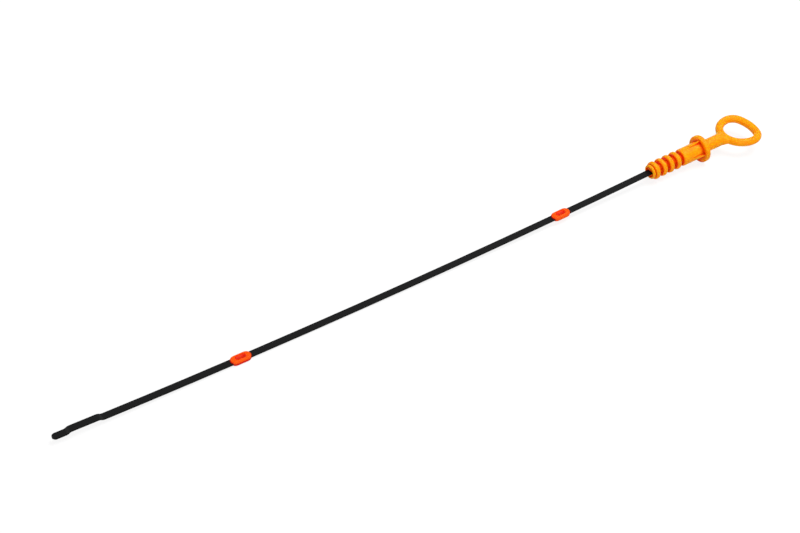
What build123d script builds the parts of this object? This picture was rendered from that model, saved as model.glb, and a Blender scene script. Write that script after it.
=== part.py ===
"""Engine oil dipstick: a bowed steel blade with a moulded plug handle and two guide beads.

Everything is drawn in the handle's own frame, in millimetres: X runs along the handle's axis
from the tip to the finger loop, the origin is the centre of the flange's face towards the tip,
and Z is square to the loop and to the blade's flat. The last step lays the whole object on a
table, where it touches on the rim of the flange and on the lower bead.
"""
from build123d import *
import math
import os

# Blade
STRIP_WIDTH = 5.0
STRIP_THICK = 1.0
FREE_LENGTH = 453.0
UPPER_BOW_RADIUS = 5270.0
LOWER_BOW_RADIUS = 3530.0
MOUTH_DIP_DEG = 0.92
TIP_LEVEL = 8.0
GAUGE_LENGTH = 17.0
GAUGE_RISE = 1.2
RAMP_LENGTH = 4.0

# Guide beads
BEAD_LENGTH = 14.4
BEAD_WIDTH = 7.2
BEAD_HEIGHT = 3.6
LOWER_BEAD_FROM_TIP = 125.6
UPPER_BEAD_FROM_MOUTH = 78.35

# Plug
PLUG_RADIUS = 6.5
BARREL_RADIUS = 6.25
BARREL_LENGTH = 17.2
RIB_COUNT = 4
RIB_PITCH = 6.37
RIB_THICK = 3.4
GROOVE_DEPTH = 3.0
LIP_THICK = 2.0
MOUTH_DEPTH = 1.0

# Flange and neck
FLANGE_RADIUS = 10.0
FLANGE_THICK = 3.4
NECK_RADIUS = 4.55
NECK_LENGTH = 21.5
GUSSET_COUNT = 4
GUSSET_THICK = 1.2

# Finger loop, on the centreline of its round section
LOOP_LENGTH = 24.1
LOOP_WIDTH = 29.4
LOOP_SECTION_RADIUS = 2.87

# Guide bead details: rounded rims and a long shallow dish in its two flat faces
BEAD_ROUND = 0.35 * BEAD_HEIGHT
DISH_DEPTH = 0.38 * (BEAD_HEIGHT - STRIP_THICK)
DISH_WIDTH = 0.92 * (BEAD_WIDTH - 2 * BEAD_ROUND)
DISH_RUN = 0.225 * BEAD_LENGTH
DISH_RADIUS = (DISH_WIDTH**2 / 4 + DISH_DEPTH**2) / (2 * DISH_DEPTH)

# Plug stations along the axis
GROOVE_RADIUS = PLUG_RADIUS - GROOVE_DEPTH
RIB_GAP = RIB_PITCH - RIB_THICK
RIB_CENTRES = [-BARREL_LENGTH - RIB_GAP - RIB_THICK / 2 - i * RIB_PITCH for i in range(RIB_COUNT)]
FIRST_RIB_FRONT = RIB_CENTRES[-1] - RIB_THICK / 2
LIP_BACK = FIRST_RIB_FRONT - 0.15 * LIP_THICK
MOUTH_X = LIP_BACK - LIP_THICK
LIP_RADIUS = 0.8 * PLUG_RADIUS
MOUTH_RADIUS = 0.76 * LIP_RADIUS
LIP_ROOT_RADIUS = (LIP_RADIUS + MOUTH_RADIUS) / 2
BLADE_END_X = -0.3 * BARREL_LENGTH
RIB_ROUND = 0.4 * RIB_THICK
LIP_ROUND = 0.35 * LIP_THICK
FLANGE_ROUND = 0.2 * FLANGE_THICK
GUSSET_HEIGHT = 0.48 * (FLANGE_RADIUS - BARREL_RADIUS)
GUSSET_LENGTH = 0.62 * BARREL_LENGTH
GUSSET_ROOT = 0.25 * GUSSET_THICK

# Finger loop stations: a near arc, two tight corner arcs and a flatter far arc, all tangent
LOOP_NEAR_X = FLANGE_THICK + NECK_LENGTH
LOOP_FAR_X = LOOP_NEAR_X + LOOP_LENGTH
NEAR_SHARE = 0.613
NEAR_SPAN = NEAR_SHARE * LOOP_LENGTH
FAR_SPAN = LOOP_LENGTH - NEAR_SPAN
CORNER_RADIUS = 0.887 * FAR_SPAN
CORNER_X = LOOP_NEAR_X + NEAR_SPAN
CORNER_Y = LOOP_WIDTH / 2 - CORNER_RADIUS


def tangent_radius(span):
    """Radius of the arc through an end of the loop that is tangent to the corner arcs."""
    return (span**2 + CORNER_Y**2 - CORNER_RADIUS**2) / (2 * (span - CORNER_RADIUS))


NEAR_RADIUS = tangent_radius(NEAR_SPAN)
FAR_RADIUS = tangent_radius(FAR_SPAN)

# Neck: round out of the flange, then widened and flattened into the loop
NECK_ROUND_END = FLANGE_THICK + 0.75 * NECK_LENGTH
NECK_FLAT_END = LOOP_NEAR_X + 0.1 * LOOP_SECTION_RADIUS
NECK_FLAT_HEIGHT = 0.93 * LOOP_SECTION_RADIUS
NECK_FLARE = 1.25 * math.sqrt(NEAR_RADIUS * LOOP_SECTION_RADIUS)

# Blade centreline: lengths along it, walked from inside the handle to the tip
MOUTH_DIP = math.radians(MOUTH_DIP_DEG)
BURIED_LENGTH = (BLADE_END_X - MOUTH_X) / math.cos(MOUTH_DIP)
GAUGE_ZONE = TIP_LEVEL + GAUGE_LENGTH + 2 * RAMP_LENGTH
UPPER_RUN = UPPER_BEAD_FROM_MOUTH - BEAD_LENGTH / 2
MIDDLE_RUN = FREE_LENGTH - LOWER_BEAD_FROM_TIP - UPPER_BEAD_FROM_MOUTH - BEAD_LENGTH
LOWER_RUN = LOWER_BEAD_FROM_TIP - GAUGE_ZONE - BEAD_LENGTH / 2
RAMP_ANGLE = 2 * math.atan(GAUGE_RISE / RAMP_LENGTH)
RAMP_RADIUS = RAMP_LENGTH / (2 * math.sin(RAMP_ANGLE))


class StripWalk:
    """Walks a bent strip's side view and keeps its two faces as exact lines and arcs."""

    def __init__(self, x, z, heading, thick):
        self.x, self.z, self.heading = x, z, heading
        self.half = thick / 2
        self.upper, self.lower = [], []

    def _at(self, side):
        normal = (-math.sin(self.heading), math.cos(self.heading))
        return (self.x + side * self.half * normal[0], self.z + side * self.half * normal[1])

    def _edge(self, points):
        return Line(*points) if len(points) == 2 else ThreePointArc(*points)

    def step(self, advance, count):
        """Moves along by repeated advances and adds one edge to each face."""
        upper, lower = [self._at(1)], [self._at(-1)]
        for _ in range(count):
            advance()
            upper.append(self._at(1))
            lower.append(self._at(-1))
        self.upper.append(self._edge(upper))
        self.lower.append(self._edge(lower))

    def line(self, length):
        """Goes straight on."""

        def advance():
            self.x += length * math.cos(self.heading)
            self.z += length * math.sin(self.heading)

        self.step(advance, 1)

    def arc(self, radius, angle):
        """Turns by an angle, positive to the left of the heading, in two halves."""

        def advance():
            turn = math.copysign(radius, angle)
            start = self.heading
            self.heading += angle / 2
            self.x += turn * (math.sin(self.heading) - math.sin(start))
            self.z -= turn * (math.cos(self.heading) - math.cos(start))

        self.step(advance, 2)

    def flat(self, length):
        """Goes straight on, and returns the seat in the middle of the flat as (x, z, rise)."""
        x, z = self.x, self.z
        self.line(length)
        return (x + self.x) / 2, (z + self.z) / 2, math.pi - self.heading

    def face(self):
        """The side view as one face, closed by its two square ends."""
        ends = [Line(self.upper[0] @ 0, self.lower[0] @ 0), Line(self.upper[-1] @ 1, self.lower[-1] @ 1)]
        return make_face(self.upper + self.lower + ends)


def walk_blade():
    """Walks the blade from the handle to its tip, and returns the walk and the two bead seats."""
    buried_z = BURIED_LENGTH * math.sin(MOUTH_DIP)
    walk = StripWalk(BLADE_END_X, buried_z, math.pi + MOUTH_DIP, STRIP_THICK)
    walk.line(BURIED_LENGTH)
    walk.arc(UPPER_BOW_RADIUS, -UPPER_RUN / UPPER_BOW_RADIUS)
    upper_seat = walk.flat(BEAD_LENGTH)
    walk.arc(UPPER_BOW_RADIUS, -MIDDLE_RUN / UPPER_BOW_RADIUS)
    lower_seat = walk.flat(BEAD_LENGTH)
    walk.arc(LOWER_BOW_RADIUS, -LOWER_RUN / LOWER_BOW_RADIUS)
    walk.arc(RAMP_RADIUS, -RAMP_ANGLE)
    walk.arc(RAMP_RADIUS, RAMP_ANGLE)
    walk.line(GAUGE_LENGTH)
    walk.arc(RAMP_RADIUS, RAMP_ANGLE)
    walk.arc(RAMP_RADIUS, -RAMP_ANGLE)
    walk.line(TIP_LEVEL)
    return walk, upper_seat, lower_seat


def blade_solid(walk):
    """The steel strip: straight in the handle, bowed below it, stepped near its rounded tip."""
    side = Plane.XZ * walk.face()
    strip = extrude(side, amount=STRIP_WIDTH / 2, both=True)
    along = (math.cos(walk.heading), 0, math.sin(walk.heading))
    tip = Plane(origin=(walk.x, 0, walk.z), x_dir=along, z_dir=(along[2], 0, -along[0]))
    round_end = Pos(-STRIP_WIDTH / 2, 0) * Circle(STRIP_WIDTH / 2)
    square_end = Pos(-STRIP_WIDTH / 4, 0) * Rectangle(STRIP_WIDTH / 2, STRIP_WIDTH + 1)
    corners = extrude(tip * (square_end - round_end), amount=2 * STRIP_THICK, both=True)
    return strip - corners


def dish_tool():
    """A capsule along X: its underside, sunk into a flat face, leaves a long round dish."""
    half = DISH_RUN / 2
    slant = DISH_RADIUS * math.sqrt(0.5)
    outline = [
        ThreePointArc((-half - DISH_RADIUS, 0), (-half - slant, slant), (-half, DISH_RADIUS)),
        Line((-half, DISH_RADIUS), (half, DISH_RADIUS)),
        ThreePointArc((half, DISH_RADIUS), (half + slant, slant), (half + DISH_RADIUS, 0)),
        Line((half + DISH_RADIUS, 0), (-half - DISH_RADIUS, 0)),
    ]
    return revolve(make_face(outline), axis=Axis.X)


def bead_solid(seat, blade):
    """A guide bead moulded round the blade, on a flat of the blade as long as the bead."""
    x, z, rise = seat
    along = (math.cos(rise), 0, -math.sin(rise))
    place = Plane(origin=(x, 0, z), x_dir=along, z_dir=(math.sin(rise), 0, math.cos(rise)))
    bead = extrude(SlotOverall(BEAD_LENGTH, BEAD_WIDTH), amount=BEAD_HEIGHT / 2, both=True)
    rims = bead.faces().sort_by(Axis.Z)[0].edges() + bead.faces().sort_by(Axis.Z)[-1].edges()
    bead = fillet(rims, BEAD_ROUND)
    lift = BEAD_HEIGHT / 2 - DISH_DEPTH + DISH_RADIUS
    for side in (1, -1):
        bead -= Pos(0, 0, side * lift) * dish_tool()
    return place * bead - blade


def disc(start, end, radius, start_round=0.0, end_round=0.0):
    """A round disc on the axis between two stations, with its rims rounded."""
    solid = Pos(start, 0, 0) * Rot(0, 90, 0) * Cylinder(
        radius, end - start, align=(Align.CENTER, Align.CENTER, Align.MIN)
    )
    if start_round > 0:
        solid = fillet(solid.faces().sort_by(Axis.X)[0].edges(), start_round)
    if end_round > 0:
        solid = fillet(solid.faces().sort_by(Axis.X)[-1].edges(), end_round)
    return solid


def plug_solid():
    """Barrel, ribs and lip on one core, with a shallow round recess where the blade goes in."""
    plug = disc(FIRST_RIB_FRONT, 0, GROOVE_RADIUS)
    plug += disc(-BARREL_LENGTH, 0, BARREL_RADIUS, start_round=RIB_ROUND)
    for centre in RIB_CENTRES:
        plug += disc(centre - RIB_THICK / 2, centre + RIB_THICK / 2, PLUG_RADIUS, RIB_ROUND, RIB_ROUND)
    plug += disc(LIP_BACK - LIP_THICK / 2, RIB_CENTRES[-1], LIP_ROOT_RADIUS)
    plug += disc(MOUTH_X, LIP_BACK, LIP_RADIUS, LIP_ROUND, LIP_ROUND)
    return plug - disc(MOUTH_X - 1, MOUTH_X + MOUTH_DEPTH, MOUTH_RADIUS)


def gusset_solid():
    """One tapered web that stiffens the flange against the barrel, standing along Z."""
    root = BARREL_RADIUS - GUSSET_ROOT
    crest = BARREL_RADIUS + GUSSET_HEIGHT
    run_out = GUSSET_LENGTH * (1 + GUSSET_ROOT / GUSSET_HEIGHT)
    outline = Polyline((GUSSET_ROOT, root), (GUSSET_ROOT, crest), (0, crest), (-run_out, root), close=True)
    return extrude(Plane.XZ * make_face(outline), amount=GUSSET_THICK / 2, both=True)


def neck_solid():
    """Round neck out of the flange that widens and flattens into the loop."""
    neck = disc(FLANGE_THICK / 2, NECK_ROUND_END, NECK_RADIUS)
    start = Plane(origin=(NECK_ROUND_END, 0, 0), x_dir=(0, 1, 0), z_dir=(1, 0, 0))
    end = Plane(origin=(NECK_FLAT_END, 0, 0), x_dir=(0, 1, 0), z_dir=(1, 0, 0))
    return neck + loft([start * Circle(NECK_RADIUS), end * Ellipse(NECK_FLARE, NECK_FLAT_HEIGHT)])


def loop_path():
    """Closed centreline of the finger loop from its four tangent arcs."""
    near = Vector(LOOP_NEAR_X + NEAR_RADIUS, 0)
    far = Vector(LOOP_FAR_X - FAR_RADIUS, 0)
    corners = [Vector(CORNER_X, CORNER_Y), Vector(CORNER_X, -CORNER_Y)]
    near_joins = [near + (c - near).normalized() * NEAR_RADIUS for c in corners]
    far_joins = [far + (c - far).normalized() * FAR_RADIUS for c in corners]
    outs = [((n - c) + (f - c)).normalized() for n, f, c in zip(near_joins, far_joins, corners)]
    tops = [c + o * CORNER_RADIUS for c, o in zip(corners, outs)]
    return [
        ThreePointArc(near_joins[1], (LOOP_NEAR_X, 0), near_joins[0]),
        ThreePointArc(near_joins[0], tops[0], far_joins[0]),
        ThreePointArc(far_joins[0], (LOOP_FAR_X, 0), far_joins[1]),
        ThreePointArc(far_joins[1], tops[1], near_joins[1]),
    ]


def loop_solid():
    """The finger loop: a round section carried round the closed centreline."""
    path = Wire(loop_path())
    start = Plane(origin=path @ 0, x_dir=(0, 0, 1), z_dir=path % 0)
    return sweep(start * Circle(LOOP_SECTION_RADIUS), path=path)


def handle_solid(blade):
    """The one moulding: plug, gussets, flange, neck and loop, formed round the blade's end."""
    handle = plug_solid()
    handle += disc(0, FLANGE_THICK, FLANGE_RADIUS, FLANGE_ROUND, FLANGE_ROUND)
    for i in range(GUSSET_COUNT):
        handle += Rot(360 * i / GUSSET_COUNT, 0, 0) * gusset_solid()
    handle += neck_solid()
    handle += loop_solid()
    return handle - blade


def resting_tilt(lower_seat):
    """Angle of the handle's axis to the table when flange rim and lower bead both touch it."""
    x, z, rise = lower_seat
    flat = BEAD_LENGTH / 2 - BEAD_ROUND
    tilt = 0.0
    for _ in range(8):
        lean = abs(rise - tilt)
        under_bead = z * math.cos(tilt) - (BEAD_HEIGHT / 2 - BEAD_ROUND) - BEAD_ROUND - flat * math.sin(lean)
        rim = FLANGE_ROUND * math.sin(tilt) - (FLANGE_RADIUS - FLANGE_ROUND) * math.cos(tilt) - FLANGE_ROUND
        tilt = math.asin((under_bead - rim) / -x)
    return tilt


def main():
    """Builds every node in the handle's frame, lays it on the table and writes the solids."""
    os.makedirs("parts", exist_ok=True)
    walk, upper_seat, lower_seat = walk_blade()
    blade = blade_solid(walk)
    nodes = {
        "blade": blade,
        "handle": handle_solid(blade),
        "lower_bead": bead_solid(lower_seat, blade),
        "upper_bead": bead_solid(upper_seat, blade),
    }
    lay = Rot(0, -math.degrees(resting_tilt(lower_seat)), 0)
    laid = {name: lay * solid for name, solid in nodes.items()}
    box = Compound(list(laid.values())).bounding_box()
    rest = Pos(-(box.min.X + box.max.X) / 2, -(box.min.Y + box.max.Y) / 2, -box.min.Z)
    for name, solid in laid.items():
        export_step(rest * solid, f"parts/{name}.step")


if __name__ == "__main__":
    main()
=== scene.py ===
"""Engine oil dipstick lying on a white studio floor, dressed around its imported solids.

The object is one rigid piece: a long bowed steel blade, a moulded plug handle with a finger loop,
and two guide beads moulded on the blade. The solids carry the shapes, and this script gives each
of them its finish, a floor, soft studio light and the photograph's viewing angle.
"""
from __future__ import annotations

import logging
import math
from dataclasses import dataclass, field
from enum import Enum

import bpy
from mathutils import Matrix, Vector


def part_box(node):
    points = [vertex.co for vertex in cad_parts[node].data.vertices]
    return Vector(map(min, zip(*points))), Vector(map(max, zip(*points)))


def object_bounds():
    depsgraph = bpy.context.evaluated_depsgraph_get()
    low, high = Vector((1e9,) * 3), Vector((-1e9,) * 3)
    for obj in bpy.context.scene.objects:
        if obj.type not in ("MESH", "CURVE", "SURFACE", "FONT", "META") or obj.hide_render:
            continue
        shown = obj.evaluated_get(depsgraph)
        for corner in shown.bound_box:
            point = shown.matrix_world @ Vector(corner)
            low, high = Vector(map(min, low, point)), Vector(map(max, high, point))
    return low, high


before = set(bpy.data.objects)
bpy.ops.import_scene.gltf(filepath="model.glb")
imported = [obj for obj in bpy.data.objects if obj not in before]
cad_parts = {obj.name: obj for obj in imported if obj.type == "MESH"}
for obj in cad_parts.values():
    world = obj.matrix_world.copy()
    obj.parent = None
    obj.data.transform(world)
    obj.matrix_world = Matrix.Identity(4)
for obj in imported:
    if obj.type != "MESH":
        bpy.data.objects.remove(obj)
CAD_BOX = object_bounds()

MM = 0.001
BODY = "root"
LOG = logging.getLogger("dipstick")
WHITE = (1.0, 1.0, 1.0, 1.0)

# The sRGB curve: a straight toe, then a power curve with an offset.
TOE_END = 0.04045
TOE_SLOPE = 12.92
CURVE_OFFSET = 0.055
CURVE_POWER = 2.4

# The mix node has a set of sockets for each kind of data, and the sets share their names, so the
# ones for colours are picked by place.
MIX_FACTOR = 0
MIX_FIRST = 6
MIX_SECOND = 7
MIX_RESULT = 2


class Node(Enum):
    """The four solids of the object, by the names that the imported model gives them."""

    BLADE = "blade"
    HANDLE = "handle"
    LOWER_BEAD = "lower_bead"
    UPPER_BEAD = "upper_bead"


class Slot(Enum):
    """The record's material slots."""

    STEEL = "blade_steel"
    HANDLE = "handle_plastic"
    BEAD = "bead_plastic"


def hex_to_linear(code: str) -> tuple[float, float, float, float]:
    """Turns an sRGB hex colour into linear light.

    Args:
        code: The colour as six hex digits, with or without a leading hash.

    Returns:
        Red, green, blue and an alpha of 1.
    """
    digits = code.lstrip("#")
    shares = [int(digits[i:i + 2], 16) / 255 for i in (0, 2, 4)]
    linear = [
        s / TOE_SLOPE if s <= TOE_END
        else ((s + CURVE_OFFSET) / (1 + CURVE_OFFSET)) ** CURVE_POWER
        for s in shares
    ]
    return linear[0], linear[1], linear[2], 1.0


def add_node(
    tree: bpy.types.NodeTree,
    kind: str,
    values: dict[str | int, object] | None = None,
    links: dict[str | int, bpy.types.NodeSocket] | None = None,
    **settings: object,
) -> bpy.types.Node:
    """Adds one shader node with its settings, fixed inputs and links.

    Args:
        tree: The node tree that gets the node.
        kind: Blender's type name of the node.
        values: Fixed input values by socket name or index.
        links: Output sockets to join to inputs, by input name or index.
        **settings: Properties of the node itself.

    Returns:
        The new node.
    """
    node = tree.nodes.new(kind)
    for name, value in settings.items():
        setattr(node, name, value)
    for key, value in (values or {}).items():
        node.inputs[key].default_value = value
    for key, socket in (links or {}).items():
        tree.links.new(socket, node.inputs[key])
    return node


def empty_material(name: str) -> tuple[bpy.types.Material, bpy.types.NodeTree]:
    """Makes a node material with nothing in it.

    Args:
        name: The material's name.

    Returns:
        The material and its empty node tree.
    """
    material = bpy.data.materials.new(name)
    material.use_nodes = True
    material.node_tree.nodes.clear()
    return material, material.node_tree


def per_metre(size_mm: float) -> float:
    """Pattern scale, in repeats a metre, for a feature of that size in millimetres."""
    return 1.0 / (size_mm * MM)


def rays_that_look(tree: bpy.types.NodeTree) -> bpy.types.NodeSocket:
    """Tells rays that look at a background, straight, in a gloss or through glass, from the rest.

    Args:
        tree: The node tree of the background.

    Returns:
        A socket that is 1 for the rays that look and 0 for those that only bring light.
    """
    path = add_node(tree, "ShaderNodeLightPath")
    looks = path.outputs["Is Camera Ray"]
    for kind in ("Is Glossy Ray", "Is Transmission Ray"):
        either = add_node(
            tree, "ShaderNodeMath",
            links={0: looks, 1: path.outputs[kind]},
            operation="MAXIMUM",
        )
        looks = either.outputs[0]
    return looks


@dataclass(frozen=True)
class MouldedPolyamide:
    """Coloured polyamide, injection moulded in a spark-eroded tool.

    The eye gets a strong even colour, a broad soft gloss from the fine eroded grain, and a slow
    drift of tone where the melt flowed in. Grooves and corners get painted shade: the base colour
    turns to a deeper red where ambient occlusion finds walls close by. This stands in for the
    light that passes from wall to wall through the pigment there.
    """

    name: str
    colour: str
    flow_colour: str
    # Painted shade: the deeper red that grooves and corners are painted with.
    painted_shade_colour: str
    roughness: float = 0.45
    roughness_spread: float = 0.08
    ior: float = 1.53
    specular: float = 0.1
    glow: float = 0.6
    glow_mm: float = 3.0
    glow_spread: tuple[float, float, float] = (1.0, 0.25, 0.08)
    # Real eroded grain is several times finer. It is drawn this coarse so that it shows.
    grain_mm: float = 0.35
    grain_height_mm: float = 0.012
    grain_detail: float = 3.0
    grain_breakup: float = 0.6
    grain_bump: float = 0.6
    flow_mm: float = 9.0
    flow_detail: float = 2.0
    flow_breakup: float = 0.5
    # Reach and thresholds of the ambient occlusion that places the painted shade.
    hollow_mm: float = 4.0
    hollow_samples: int = 16
    open_share: float = 0.97
    closed_share: float = 0.5

    def build(self) -> bpy.types.Material:
        """Makes the material.

        Returns:
            A material that takes its grain and flow from the object's own coordinates.
        """
        material, tree = empty_material(self.name)
        place = add_node(tree, "ShaderNodeTexCoord").outputs["Object"]
        flow = add_node(
            tree, "ShaderNodeTexNoise",
            {
                "Scale": per_metre(self.flow_mm),
                "Detail": self.flow_detail,
                "Roughness": self.flow_breakup,
            },
            {"Vector": place},
        )
        tone = add_node(
            tree, "ShaderNodeMix",
            {
                MIX_FIRST: hex_to_linear(self.colour),
                MIX_SECOND: hex_to_linear(self.flow_colour),
            },
            {MIX_FACTOR: flow.outputs["Fac"]},
            data_type="RGBA",
        )
        # Painted shade: the base colour turns towards the deeper red where ambient occlusion
        # finds walls close by.
        openness = add_node(
            tree, "ShaderNodeAmbientOcclusion",
            {"Distance": self.hollow_mm * MM},
            samples=self.hollow_samples,
        )
        painted_shade_mask = add_node(
            tree, "ShaderNodeMapRange",
            {"From Min": self.open_share, "From Max": self.closed_share},
            {"Value": openness.outputs["AO"]},
            interpolation_type="SMOOTHSTEP",
        )
        tone = add_node(
            tree, "ShaderNodeMix",
            {MIX_SECOND: hex_to_linear(self.painted_shade_colour)},
            {MIX_FACTOR: painted_shade_mask.outputs["Result"], MIX_FIRST: tone.outputs[MIX_RESULT]},
            data_type="RGBA",
        )
        grain = add_node(
            tree, "ShaderNodeTexNoise",
            {
                "Scale": per_metre(self.grain_mm),
                "Detail": self.grain_detail,
                "Roughness": self.grain_breakup,
            },
            {"Vector": place},
        )
        rough = add_node(
            tree, "ShaderNodeMapRange",
            {
                "To Min": self.roughness - self.roughness_spread,
                "To Max": self.roughness + self.roughness_spread,
            },
            {"Value": grain.outputs["Fac"]},
        )
        bump = add_node(
            tree, "ShaderNodeBump",
            {"Strength": self.grain_bump, "Distance": self.grain_height_mm * MM},
            {"Height": grain.outputs["Fac"]},
        )
        shader = add_node(
            tree, "ShaderNodeBsdfPrincipled",
            {
                "IOR": self.ior,
                "Metallic": 0.0,
                "Specular IOR Level": self.specular,
                "Subsurface Weight": self.glow,
                "Subsurface Radius": self.glow_spread,
                "Subsurface Scale": self.glow_mm * MM,
            },
            {
                "Base Color": tone.outputs[MIX_RESULT],
                "Roughness": rough.outputs["Result"],
                "Normal": bump.outputs["Normal"],
            },
        )
        add_node(tree, "ShaderNodeOutputMaterial", links={"Surface": shader.outputs["BSDF"]})
        return material


@dataclass(frozen=True)
class BlackenedSpringSteel:
    """Cold rolled spring steel strip, blackened in hot salts and oiled.

    The eye gets a near-black satin face with faint lengthwise rolling lines, and a band along
    each slit edge that is drawn blacker than the face.
    """

    name: str
    face_colour: str
    edge_colour: str
    half_width_mm: float
    edge_band_mm: float = 0.9
    roughness: float = 0.4
    roughness_spread: float = 0.1
    specular: float = 0.08
    # Real rolling lines lie hundredths of a millimetre apart. They are drawn this wide so that
    # they show.
    line_width_mm: float = 0.3
    line_length_mm: float = 30.0
    line_height_mm: float = 0.006
    line_detail: float = 3.0
    line_breakup: float = 0.55
    line_bump: float = 0.5

    def build(self) -> bpy.types.Material:
        """Makes the material.

        Returns:
            A material whose lines run along X and whose edges lie at half the strip's width in Y.
        """
        material, tree = empty_material(self.name)
        place = add_node(tree, "ShaderNodeTexCoord").outputs["Object"]
        across = add_node(tree, "ShaderNodeSeparateXYZ", links={"Vector": place})
        distance = add_node(
            tree, "ShaderNodeMath", links={0: across.outputs["Y"]}, operation="ABSOLUTE"
        )
        # The colour turns blacker in a band along each slit edge.
        edge = add_node(
            tree, "ShaderNodeMapRange",
            {
                "From Min": (self.half_width_mm - self.edge_band_mm) * MM,
                "From Max": self.half_width_mm * MM,
            },
            {"Value": distance.outputs[0]},
            interpolation_type="SMOOTHSTEP",
        )
        tone = add_node(
            tree, "ShaderNodeMix",
            {
                MIX_FIRST: hex_to_linear(self.face_colour),
                MIX_SECOND: hex_to_linear(self.edge_colour),
            },
            {MIX_FACTOR: edge.outputs["Result"]},
            data_type="RGBA",
        )
        stretched = add_node(
            tree, "ShaderNodeMapping",
            {
                "Scale": (
                    per_metre(self.line_length_mm),
                    per_metre(self.line_width_mm),
                    per_metre(self.line_width_mm),
                )
            },
            {"Vector": place},
        )
        lines = add_node(
            tree, "ShaderNodeTexNoise",
            {"Scale": 1.0, "Detail": self.line_detail, "Roughness": self.line_breakup},
            {"Vector": stretched.outputs["Vector"]},
        )
        rough = add_node(
            tree, "ShaderNodeMapRange",
            {
                "To Min": self.roughness - self.roughness_spread,
                "To Max": self.roughness + self.roughness_spread,
            },
            {"Value": lines.outputs["Fac"]},
        )
        bump = add_node(
            tree, "ShaderNodeBump",
            {"Strength": self.line_bump, "Distance": self.line_height_mm * MM},
            {"Height": lines.outputs["Fac"]},
        )
        shader = add_node(
            tree, "ShaderNodeBsdfPrincipled",
            {"Metallic": 0.0, "Specular IOR Level": self.specular},
            {
                "Base Color": tone.outputs[MIX_RESULT],
                "Roughness": rough.outputs["Result"],
                "Normal": bump.outputs["Normal"],
            },
        )
        add_node(tree, "ShaderNodeOutputMaterial", links={"Surface": shader.outputs["BSDF"]})
        return material


@dataclass(frozen=True)
class SeamlessPaper:
    """White seamless background paper: matt, and burnt out to plain white where it is seen.

    Light that bounces off it to the object meets ordinary white paper. What is seen directly, or
    in a gloss, is a lifted white that keeps a faint share of the object's shadow.
    """

    name: str = "white_seamless_paper"
    colour: str = "#CCCCCC"
    lift: float = 0.83
    shadow_share: float = 0.36

    def build(self) -> bpy.types.Material:
        """Makes the material.

        Returns:
            A material that mixes paper and lifted white by the kind of ray that meets it.
        """
        material, tree = empty_material(self.name)
        paper_colour = hex_to_linear(self.colour)
        seen = rays_that_look(tree)
        paper = add_node(tree, "ShaderNodeBsdfDiffuse", {"Color": paper_colour})
        faint = tuple(self.shadow_share * c for c in paper_colour[:3]) + (1.0,)
        shaded = add_node(tree, "ShaderNodeBsdfDiffuse", {"Color": faint})
        lifted = add_node(tree, "ShaderNodeEmission", {"Color": WHITE, "Strength": self.lift})
        white = add_node(
            tree, "ShaderNodeAddShader",
            links={0: shaded.outputs["BSDF"], 1: lifted.outputs["Emission"]},
        )
        chosen = add_node(
            tree, "ShaderNodeMixShader",
            links={0: seen, 1: paper.outputs["BSDF"], 2: white.outputs["Shader"]},
        )
        add_node(tree, "ShaderNodeOutputMaterial", links={"Surface": chosen.outputs["Shader"]})
        return material


def dress(node: Node, material: bpy.types.Material) -> bpy.types.Object:
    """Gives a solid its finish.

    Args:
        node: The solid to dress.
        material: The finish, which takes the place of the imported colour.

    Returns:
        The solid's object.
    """
    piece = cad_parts[node.value]
    piece.data.materials.clear()
    piece.data.materials.append(material)
    return piece


@dataclass
class Blade:
    """The bowed steel strip with its stepped gauge tip."""

    finish: BlackenedSpringSteel = field(init=False)

    def __post_init__(self) -> None:
        """Works the finish out from the solid's own width."""
        low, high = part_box(Node.BLADE.value)
        self.finish = BlackenedSpringSteel(
            name="blackened_spring_steel",
            face_colour="#0C0C0D",
            edge_colour="#040404",
            half_width_mm=(high.y - low.y) / 2 / MM,
        )

    def build(self) -> list[bpy.types.Object]:
        """Dresses the blade's solid and returns it."""
        return [dress(Node.BLADE, self.finish.build())]


@dataclass
class Handle:
    """The one orange moulding: plug with ribs, gussets, flange, neck and finger loop."""

    finish: MouldedPolyamide = MouldedPolyamide(
        name="orange_moulded_polyamide",
        colour="#FFA300",
        flow_colour="#FF9D00",
        # Painted shade in the grooves between the ribs, at the flange corner and in the mouth.
        painted_shade_colour="#E84000",
    )

    def build(self) -> list[bpy.types.Object]:
        """Dresses the handle's solid and returns it."""
        return [dress(Node.HANDLE, self.finish.build())]


@dataclass
class GuideBeads:
    """The two red-orange beads that keep the blade off the guide tube's wall."""

    finish: MouldedPolyamide = MouldedPolyamide(
        name="red_orange_moulded_polyamide",
        colour="#FF5A00",
        flow_colour="#FF5400",
        # Painted shade in the beads' dish and where they come close to the floor.
        painted_shade_colour="#DC0400",
        glow=0.2,
        hollow_mm=3.0,
        open_share=0.99,
        closed_share=0.88,
    )

    def build(self) -> list[bpy.types.Object]:
        """Dresses both beads with one finish and returns them."""
        material = self.finish.build()
        return [dress(node, material) for node in (Node.LOWER_BEAD, Node.UPPER_BEAD)]


@dataclass(frozen=True)
class SoftLamp:
    """A square soft box that looks at the object."""

    name: str
    place: tuple[float, float, float]
    size: float
    power: float

    def build(self, target: Vector) -> bpy.types.Object:
        """Makes the lamp.

        Args:
            target: The point that the lamp looks at.

        Returns:
            The lamp's object.
        """
        lamp = bpy.data.lights.new(self.name, "AREA")
        lamp.shape = "SQUARE"
        lamp.size = self.size
        lamp.energy = self.power
        holder = bpy.data.objects.new(self.name, lamp)
        holder.location = self.place
        holder.rotation_mode = "QUATERNION"
        holder.rotation_quaternion = (target - Vector(self.place)).to_track_quat("-Z", "Y")
        bpy.context.scene.collection.objects.link(holder)
        return holder


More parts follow.
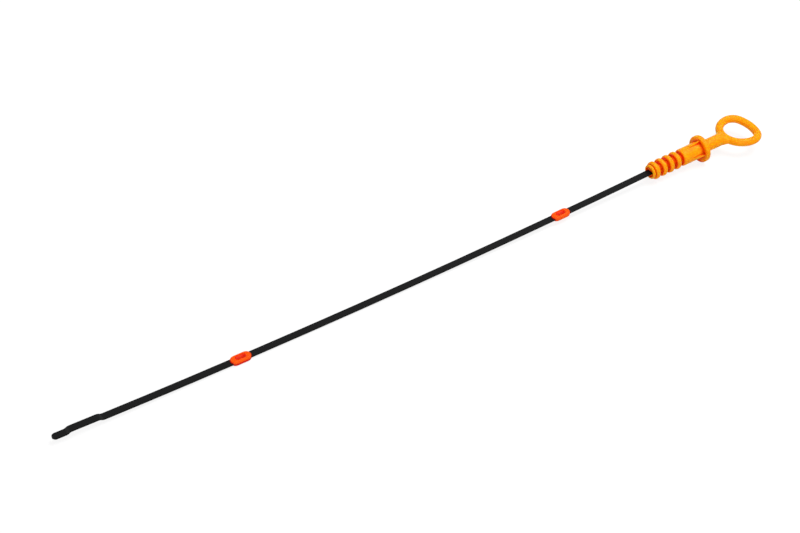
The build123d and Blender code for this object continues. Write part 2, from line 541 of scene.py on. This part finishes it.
@dataclass(frozen=True)
class ViewCamera:
    """The photograph's viewing angle, in the frame of the object."""

    place: tuple[float, float, float] = (-0.41587, -0.61605, 0.66390)
    azimuth_deg: float = -31.990
    elevation_deg: float = 41.507
    roll_deg: float = -0.859
    focal_pixels: float = 1500.0
    image_width: float = 800.0
    sensor_mm: float = 36.0
    nearest: float = 0.01

    def build(self) -> bpy.types.Object:
        """Makes the camera and sets it as the scene's own.

        Returns:
            The camera's object.
        """
        azimuth, elevation, roll = (
            math.radians(a) for a in (self.azimuth_deg, self.elevation_deg, self.roll_deg)
        )
        back = Vector((
            math.sin(azimuth) * math.cos(elevation),
            -math.cos(azimuth) * math.cos(elevation),
            math.sin(elevation),
        ))
        level = Vector((math.cos(azimuth), math.sin(azimuth), 0.0))
        right = math.cos(roll) * level + math.sin(roll) * back.cross(level)
        up = back.cross(right)
        data = bpy.data.cameras.new("view_camera")
        data.sensor_width = self.sensor_mm
        data.lens = self.focal_pixels * self.sensor_mm / self.image_width
        data.clip_start = self.nearest
        camera = bpy.data.objects.new("view_camera", data)
        turn = Matrix((right, up, back)).transposed().to_4x4()
        camera.matrix_world = Matrix.Translation(Vector(self.place)) @ turn
        bpy.context.scene.collection.objects.link(camera)
        bpy.context.scene.camera = camera
        return camera


@dataclass
class Studio:
    """White paper floor, soft light from above, front and back, and the white room round them."""

    floor_half: float = 4.0
    room_strength: float = 0.21
    seen_strength: float = 1.0
    paper: SeamlessPaper = SeamlessPaper()
    lamps: tuple[SoftLamp, ...] = (
        SoftLamp("overhead_soft_box", place=(0.60, -0.10, 1.30), size=0.9, power=15.5),
        SoftLamp("front_soft_box", place=(-1.00, -1.70, 0.95), size=1.6, power=25.0),
        SoftLamp("fill_soft_box", place=(-1.20, 1.30, 0.90), size=1.6, power=9.5),
    )

    def build_floor(self) -> bpy.types.Object:
        """Makes the flat paper floor under the object.

        Returns:
            The floor's object.
        """
        half = self.floor_half
        mesh = bpy.data.meshes.new("paper_floor")
        corners = [(-half, -half, 0), (half, -half, 0), (half, half, 0), (-half, half, 0)]
        mesh.from_pydata(corners, [], [(0, 1, 2, 3)])
        mesh.materials.append(self.paper.build())
        floor = bpy.data.objects.new("paper_floor", mesh)
        bpy.context.scene.collection.objects.link(floor)
        return floor

    def build_room(self) -> bpy.types.World:
        """Makes the white surroundings: even soft light, and plain white where they are seen.

        Returns:
            The scene's world.
        """
        world = bpy.data.worlds.new("white_room")
        world.use_nodes = True
        tree = world.node_tree
        tree.nodes.clear()
        seen = rays_that_look(tree)
        strength = add_node(
            tree, "ShaderNodeMapRange",
            {"To Min": self.room_strength, "To Max": self.seen_strength},
            {"Value": seen},
        )
        room = add_node(
            tree, "ShaderNodeBackground",
            {"Color": WHITE},
            {"Strength": strength.outputs["Result"]},
        )
        add_node(tree, "ShaderNodeOutputWorld", links={"Surface": room.outputs["Background"]})
        bpy.context.scene.world = world
        return world

    def build(self, target: Vector) -> None:
        """Sets up floor, room, lamps and camera.

        Args:
            target: The point that the lamps look at.
        """
        self.build_floor()
        self.build_room()
        for lamp in self.lamps:
            lamp.build(target)
        ViewCamera().build()
        bpy.context.scene.view_settings.view_transform = "Standard"


def main() -> None:
    """Builds the sub-assemblies in order, then the studio, and reports each piece."""
    logging.basicConfig(level=logging.INFO, format="%(name)s: %(message)s")
    for assembly in (Blade(), Handle(), GuideBeads()):
        for piece in assembly.build():
            LOG.info("%s: %s rides on %s", type(assembly).__name__, piece.name, BODY)
    low, high = CAD_BOX
    Studio().build((low + high) / 2)


if __name__ == "__main__":
    main()
